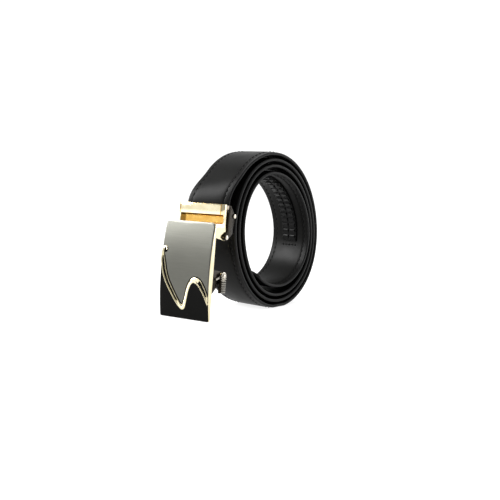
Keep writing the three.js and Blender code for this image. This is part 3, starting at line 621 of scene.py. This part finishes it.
def make_track():
    mean = outer_radius((TRACK_FROM + TRACK_TO) / 2) - STRAP_THICKNESS
    teeth = round(math.radians(TRACK_TO - TRACK_FROM) * mean / TOOTH_PITCH)
    step = (TRACK_TO - TRACK_FROM) / teeth
    half = TRACK_WIDTH / 2
    rings = []
    for i in range(teeth * 2 + 1):
        angle = TRACK_FROM + i * step / 2
        outline = [(-half, -FIT), (-half, TRACK_BASE * 0.6), (-half + 0.5, TRACK_BASE),
                   (half - 0.5, TRACK_BASE), (half, TRACK_BASE * 0.6), (half, -FIT)]
        rings.append([inner_point(angle, depth, x) for x, depth in outline])
    parts = [loft(rings)]
    for i in range(teeth):
        profile = tooth_profile(TRACK_FROM + i * step, step)
        groove_x, margin_x = TRACK_GROOVE / 2, half - TRACK_MARGIN
        for left, right in ((-margin_x, -groove_x), (groove_x, margin_x)):
            sides = []
            corners = [(left, TOOTH_EASE), (left + TOOTH_EASE, 0),
                       (right - TOOTH_EASE, 0), (right, TOOTH_EASE)]
            for x, inset in corners:
                sides.append([inner_point(a, d - (inset if d > TRACK_BASE else 0), x) for a, d in profile])
            parts.append(loft(sides))
    vertices, faces = gather(parts)
    piece = new_object("track_teeth", vertices, faces, [TRACK], COIL, smooth_faces=False)
    outward(piece)
    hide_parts("ratchet_track")
    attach(piece, "strap")


def make_track_sewing():
    half = TRACK_WIDTH / 2
    sewing = []
    lift = -STRAP_THICKNESS / 2 - FIT - TRACK_BASE
    for x in (-half + 0.65, half - 0.65):
        sewing += stitch_run(TRACK_FROM + 2, TRACK_TO - 1, x, lift, 2.6, 0.05)
    point, across, out, along = strap_place(TRACK_TO + END_ROW_AFTER)
    for k in range(END_ROW_STITCHES):
        x = mix(-half + 0.8, half - 0.8, k / (END_ROW_STITCHES - 1))
        centre = point + across * x + out * (-STRAP_THICKNESS / 2 - 0.1)
        sewing.append(capsule(centre, across, along, out, END_ROW_LENGTH, END_ROW_RADIUS))
    vertices, faces = gather(sewing)
    thread = new_object("track_sewing", vertices, faces, [THREAD], COIL)
    outward(thread)
    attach(thread, "strap")


# Face plate

HALF_WIDTH = PLATE_WIDTH / 2
HALF_LENGTH = PLATE_LENGTH / 2

# The wave's middle line and half width, as shares of half the plate, and how much of a slot it has there:
# 0 is solid gold, 1 is two gold lines with black between them
WAVE = [
    (-0.8, 0.375, 0.03, 0), (-0.825, 0.425, 0.035, 0), (-0.89, 0.443, 0.037, 0), (-0.945, 0.4, 0.04, 0),
    (-0.955, 0.31, 0.055, 0.8), (-0.94, 0.21, 0.075, 1), (-0.9, 0.1, 0.09, 1), (-0.83, -0.06, 0.093, 1),
    (-0.7, -0.25, 0.09, 1), (-0.49, -0.45, 0.085, 1), (-0.29, -0.625, 0.078, 1), (-0.155, -0.725, 0.075, 0.4),
    (-0.04, -0.765, 0.082, 0), (0.035, -0.7, 0.06, 0), (0.1, -0.56, 0.05, 0), (0.165, -0.4, 0.052, 0),
    (0.25, -0.27, 0.06, 0), (0.36, -0.2, 0.078, 0), (0.48, -0.19, 0.1, 0.2), (0.62, -0.225, 0.105, 1),
    (0.77, -0.33, 0.095, 1), (0.91, -0.475, 0.078, 1), (1.03, -0.66, 0.05, 0.3),
]
WAVE_ROWS = len(WAVE) - 1
WAVE_EDGE_ROW = 5
WAVE_STEPS = 380
LOWER_LINE = 0.95
UPPER_LINE = 0.7
# Where the painted shade along the wave's upper edge runs, as shares of the wave's length, and its size in
# millimetres
EDGE_SHADE_FROM = 4.5 / WAVE_ROWS
EDGE_SHADE_TO = 21.5 / WAVE_ROWS
EDGE_SHADE_WIDTH = 0.65
EDGE_SHADE_UNDER = 0.25
EDGE_SHADE_PROUD = 0.03
# The drop of enamel in the hook, as shares of half the plate: its middle, and half its size
HOOK_DROP = (-0.865, 0.378)
HOOK_SIZE = (0.082, 0.055)


def arch_front(z):
    share = z / HALF_LENGTH
    return -PLATE_ARCH * (1 - share * share)


def spline(rows, t):
    """A smooth curve through rows of numbers, with even spacing between them."""
    place = min(max(t, 0), 1) * (len(rows) - 1)
    i = min(int(place), len(rows) - 2)
    u = place - i
    rows = [rows[max(i - 1, 0)], rows[i], rows[i + 1], rows[min(i + 2, len(rows) - 1)]]
    weights = (-0.5 * u + u * u - 0.5 * u ** 3, 1 - 2.5 * u * u + 1.5 * u ** 3,
               0.5 * u + 2 * u * u - 1.5 * u ** 3, -0.5 * u * u + 0.5 * u ** 3)
    return [sum(w * row[k] for w, row in zip(weights, rows)) for k in range(len(rows[0]))]


def wave_at(t):
    x, z, half, slot = spline(WAVE, t)
    return Vector((x * HALF_WIDTH, z * HALF_LENGTH)), max(half * HALF_WIDTH, 0.3), min(max(slot, 0), 1)


def wave_side(t):
    ahead, _, _ = wave_at(t + 0.002)
    behind, _, _ = wave_at(t - 0.002)
    along = (ahead - behind).normalized()
    return Vector((-along.y, along.x))


def on_plate(x, z, back):
    """A point of the plate's face, back millimetres behind its front, kept inside the plate's outline."""
    inside = HALF_WIDTH - 0.02
    return Vector((min(max(x, -inside), inside), arch_front(z) + back, z))


def ridge(t):
    """Height across one gold line, from one edge at 0 to the other at 1."""
    return math.sqrt(max(0, 1 - (2 * t - 1) ** 2))


RIDGE_STEPS = (0, 0.08, 0.25, 0.5, 0.75, 0.92, 1)


def wave_ring(t):
    """Points across the wave: its upper line, then its lower one."""
    centre, half, slot = wave_at(t)
    side = wave_side(t)
    upper = mix(half, UPPER_LINE, slot)
    lower = mix(half, LOWER_LINE, slot)
    floor = mix(WAVE_PROUD * 0.92, 0.05, slot)
    ring = []
    for sign, line, steps in ((1, upper, RIDGE_STEPS), (-1, lower, RIDGE_STEPS[::-1])):
        for s in steps:
            dome = WAVE_PROUD * ridge(s * mix(0.5, 1, slot))
            ring.append((sign * (half - line * s), max(dome, floor if s > 0.9 else 0)))
    return [(centre + side * d, h) for d, h in ring]


def make_wave():
    rings = []
    for i in range(WAVE_STEPS + 1):
        points = wave_ring(i / WAVE_STEPS)
        ring = [on_plate(p.x, p.y, -h) for p, h in points]
        first, last = points[0][0], points[-1][0]
        ring += [on_plate(last.x, last.y, PANEL_THICKNESS), on_plate(first.x, first.y, PANEL_THICKNESS)]
        rings.append(ring)
    vertices, faces = loft(rings)
    piece = new_object("wave_gold", vertices, faces, [WAVE_GOLD], BUCKLE)
    outward(piece)
    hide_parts("wave_trim")
    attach(piece, "buckle")


INLAY_REACH = 0.93
INLAY_LEAST = 0.05
INLAY_PROUD = 0.12
INLAY_DOME = 0.1
INLAY_STEPS = 80


def make_inlay(node, start, end):
    """Black between the wave's two gold lines, from one share of its length to another."""
    rings = []
    for i in range(INLAY_STEPS + 1):
        t = mix(start, end, i / INLAY_STEPS)
        centre, half, slot = wave_at(t)
        side = wave_side(t)
        high = half - mix(half, UPPER_LINE, slot) * INLAY_REACH
        low = -half + mix(half, LOWER_LINE, slot) * INLAY_REACH
        width = max(high - low, INLAY_LEAST)
        row = []
        for s in (0, 0.2, 0.5, 0.8, 1):
            p = centre + side * mix(high, low, s)
            row.append(on_plate(p.x, p.y, -INLAY_PROUD - INLAY_DOME * ridge(s)))
        for s in (1, 0):
            p = centre + side * (high - width * s)
            row.append(on_plate(p.x, p.y, PANEL_THICKNESS / 2))
        rings.append(row)
    vertices, faces = loft(rings)
    piece = new_object(node + "_enamel", vertices, faces, [BLACK], BUCKLE)
    outward(piece)
    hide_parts(node)
    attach(piece, "buckle")


def make_wave_edge_shade():
    """Painted shade: a thin black strip along the wave's upper edge, which stands in for the shadow in the
    panel's groove there.
    """
    rings = []
    for i in range(WAVE_STEPS + 1):
        t = mix(EDGE_SHADE_FROM, EDGE_SHADE_TO, i / WAVE_STEPS)
        centre, half, _ = wave_at(t)
        side = wave_side(t)
        row = []
        corners = [(-EDGE_SHADE_UNDER, EDGE_SHADE_PROUD), (EDGE_SHADE_WIDTH, EDGE_SHADE_PROUD),
                   (EDGE_SHADE_WIDTH, -PANEL_THICKNESS / 2), (-EDGE_SHADE_UNDER, -PANEL_THICKNESS / 2)]
        for beyond, height in corners:
            p = centre + side * (half + beyond)
            row.append(on_plate(p.x, p.y, -height))
        rings.append(row)
    vertices, faces = loft(rings)
    piece = new_object("wave_edge_shade", vertices, faces, [BLACK], BUCKLE, smooth_faces=False)
    outward(piece)
    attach(piece, "buckle")


def make_hook_enamel():
    """The round drop of black enamel that the wave's hook curls round, joined to its left inlay."""
    rings = []
    for share, height in ((1, -PANEL_THICKNESS / 2), (1, 0.06), (0.85, 0.16), (0.5, 0.22), (0.08, 0.24)):
        ring = []
        for k in range(28):
            a = 2 * math.pi * k / 28
            x = (HOOK_DROP[0] + HOOK_SIZE[0] * share * math.cos(a)) * HALF_WIDTH
            z = (HOOK_DROP[1] + HOOK_SIZE[1] * share * math.sin(a)) * HALF_LENGTH
            ring.append(on_plate(x, z, -height))
        rings.append(ring)
    vertices, faces = loft(rings)
    piece = new_object("wave_hook_enamel", vertices, faces, [BLACK], BUCKLE)
    outward(piece)
    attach(piece, "buckle")


def divide_heights(columns):
    """Height of the wave's middle line at each column across the plate."""
    samples = [wave_at(mix(WAVE_EDGE_ROW / WAVE_ROWS, 1, i / 600))[0] for i in range(601)]
    heights = []
    for x in columns:
        before = [p for p in samples if p.x <= x]
        after = [p for p in samples if p.x > x]
        if not before:
            heights.append(samples[0].y)
        elif not after:
            heights.append(samples[-1].y)
        else:
            a, b = before[-1], after[0]
            heights.append(mix(a.y, b.y, (x - a.x) / max(b.x - a.x, 1e-6)))
    return heights


def corner_drop(x, corner):
    """How far the plate's rounded corner takes its end in at a place across."""
    inset = abs(x) - (HALF_WIDTH - corner)
    if inset <= 0:
        return 0
    return corner - math.sqrt(max(0, corner ** 2 - inset ** 2))


def panel_columns():
    inside = HALF_WIDTH - PLATE_TOP_CORNER
    edge = [PLATE_TOP_CORNER * math.sin(math.radians(a)) for a in range(10, 91, 10)]
    middle = [mix(-inside, inside, i / 150) for i in range(151)]
    return [-inside - e for e in reversed(edge)] + middle + [inside + e for e in edge]


PANEL_ROWS = 60
PANEL_EASE = 0.22
PANEL_RIM = 0.45


def make_panel(node, upper, finish):
    columns = panel_columns()
    heights = divide_heights(columns)
    rings = []
    for x, split in zip(columns, heights):
        end = HALF_LENGTH - corner_drop(x, PLATE_TOP_CORNER if upper else PLATE_FOOT_CORNER)
        low, high = (split, end) if upper else (-end, split)
        front = [mix(low, high, i / PANEL_ROWS) for i in range(PANEL_ROWS + 1)]
        ring = []
        for z in front:
            rim = min(HALF_WIDTH - abs(x), (high - z) if upper else (z - low))
            ease = PANEL_EASE * (1 - min(rim / PANEL_RIM, 1)) ** 2
            ring.append(Vector((x, arch_front(z) + ease, z)))
        ring += [Vector((x, arch_front(z) + PANEL_THICKNESS, z)) for z in reversed(front)]
        rings.append(ring)
    vertices, faces = loft(rings)
    piece = new_object(node + "_face", vertices, faces, [finish], BUCKLE)
    outward(piece)
    piece.data.set_sharp_from_angle(angle=math.radians(40))
    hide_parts(node)
    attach(piece, "buckle")


# Lights, floor and camera

COIL_MIDDLE = COIL @ Vector((0, 0, COIL_MIDDLE_Z)) * MM
VIEW_AZIMUTH = 39.933 - BUCKLE_YAW
VIEW_HEIGHT = 5.059
VIEW_ROLL = 1.5
VIEW_DISTANCE = 0.589841
VIEW_LENS = 57.6
VIEW_CENTRE = (258.832, 231.777)
PICTURE = 500
SWEEP_REACH = 4
SWEEP_BACK = 1.2
SWEEP_BEND = 0.8
PAPER_GLOW = 0.84


def make_camera():
    data = bpy.data.cameras.new("camera")
    camera = bpy.data.objects.new("camera", data)
    bpy.context.scene.collection.objects.link(camera)
    a = math.radians(VIEW_AZIMUTH)
    e = math.radians(VIEW_HEIGHT)
    back = Vector((math.sin(a) * math.cos(e), -math.cos(a) * math.cos(e), math.sin(e)))
    camera.location = COIL_MIDDLE + back * VIEW_DISTANCE
    turn = (-back).to_track_quat("-Z", "Y").to_matrix().to_4x4()
    camera.rotation_euler = (turn @ Matrix.Rotation(math.radians(VIEW_ROLL), 4, "Z")).to_euler()
    data.lens = VIEW_LENS
    data.sensor_width = 36
    data.shift_x = -(VIEW_CENTRE[0] - PICTURE / 2) / PICTURE
    data.shift_y = (VIEW_CENTRE[1] - PICTURE / 2) / PICTURE
    data.clip_start = 0.01
    bpy.context.scene.camera = camera


def area_light(name, place, target, size, power, colour=(1, 1, 1)):
    data = bpy.data.lights.new(name, "AREA")
    data.shape = "RECTANGLE"
    data.size, data.size_y = size
    data.energy = power
    data.color = colour
    light = bpy.data.objects.new(name, data)
    light.location = place
    light.rotation_euler = (Vector(target) - Vector(place)).to_track_quat("-Z", "Y").to_euler()
    bpy.context.scene.collection.objects.link(light)


def make_sweep():
    """The pale floor and the backdrop as one sheet that curves up behind the object."""
    paper = material("paper", (0.32, 0.32, 0.32), 0.9, specular=0.1)
    shader = paper.node_tree.nodes["Principled BSDF"]
    shader.inputs["Emission Color"].default_value = (1, 1, 1, 1)
    shader.inputs["Emission Strength"].default_value = PAPER_GLOW
    bend = [math.radians(a) for a in range(0, 91, 10)]
    profile = [(-SWEEP_REACH, 0)]
    profile += [(SWEEP_BACK + SWEEP_BEND * math.sin(a), SWEEP_BEND * (1 - math.cos(a))) for a in bend]
    profile.append((SWEEP_BACK + SWEEP_BEND, SWEEP_REACH))
    turn = Matrix.Rotation(math.radians(VIEW_AZIMUTH), 3, "Z")
    vertices = [turn @ Vector((x, y, z)) for y, z in profile for x in (-SWEEP_REACH, SWEEP_REACH)]
    faces = [(i, i + 1, i + 3, i + 2) for i in range(0, len(vertices) - 2, 2)]
    mesh = bpy.data.meshes.new("paper")
    mesh.from_pydata(vertices, [], faces)
    mesh.polygons.foreach_set("use_smooth", [True] * len(faces))
    mesh.materials.append(paper)
    sweep = bpy.data.objects.new("paper", mesh)
    bpy.context.scene.collection.objects.link(sweep)


def make_studio():
    world = bpy.data.worlds.new("studio")
    world.use_nodes = True
    background = world.node_tree.nodes["Background"]
    background.inputs["Color"].default_value = (1, 1, 1, 1)
    background.inputs["Strength"].default_value = 0.42
    bpy.context.scene.world = world
    bpy.context.scene.view_settings.view_transform = "Standard"
    area_light("key", (-0.75, -0.5, 0.6), (0, 0, 0.06), (0.4, 0.55), 20)
    area_light("front", (-0.62, -0.95, 0.27), (0, 0, 0.05), (0.6, 0.5), 0.6)
    area_light("rim", (0.6, 0.8, 0.25), (0, 0, 0.05), (0.3, 0.5), 1.5)
    area_light("top", (0.0, 0.1, 1.1), (0, 0, 0.05), (1.2, 1.2), 10)
    make_sweep()


make_camera()
make_studio()
make_strap()
make_stitches()
make_track()
make_track_sewing()
make_panel("upper_panel", True, BRUSHED)
make_panel("lower_panel", False, SMOKE)
make_wave()
make_wave_edge_shade()
make_hook_enamel()
make_inlay("wave_inlay_left", 3.6 / WAVE_ROWS, 10.9 / WAVE_ROWS)
make_inlay("wave_inlay_right", 18.2 / WAVE_ROWS, 21.7 / WAVE_ROWS)
for node_name, node_finish, edge in (
        ("buckle_frame", GOLD, 0.2), ("clamp", GUNMETAL_AND_SHADE, 0.2), ("clamp_flap", GUNMETAL_AND_SHADE, 0.12),
        ("flap_pin", NICKEL, 0.15), ("hinge_pin", NICKEL, 0.15), ("pawl_bracket", GUNMETAL_AND_SHADE, 0.15),
        ("pawl_shaft", NICKEL, 0.15), ("ratchet_pawl", NICKEL, 0.15), ("release_lever", STEEL, 0.12)):
    ease_edges(node_name, node_finish, edge)
shade_keeper()
shade_grip_grooves()
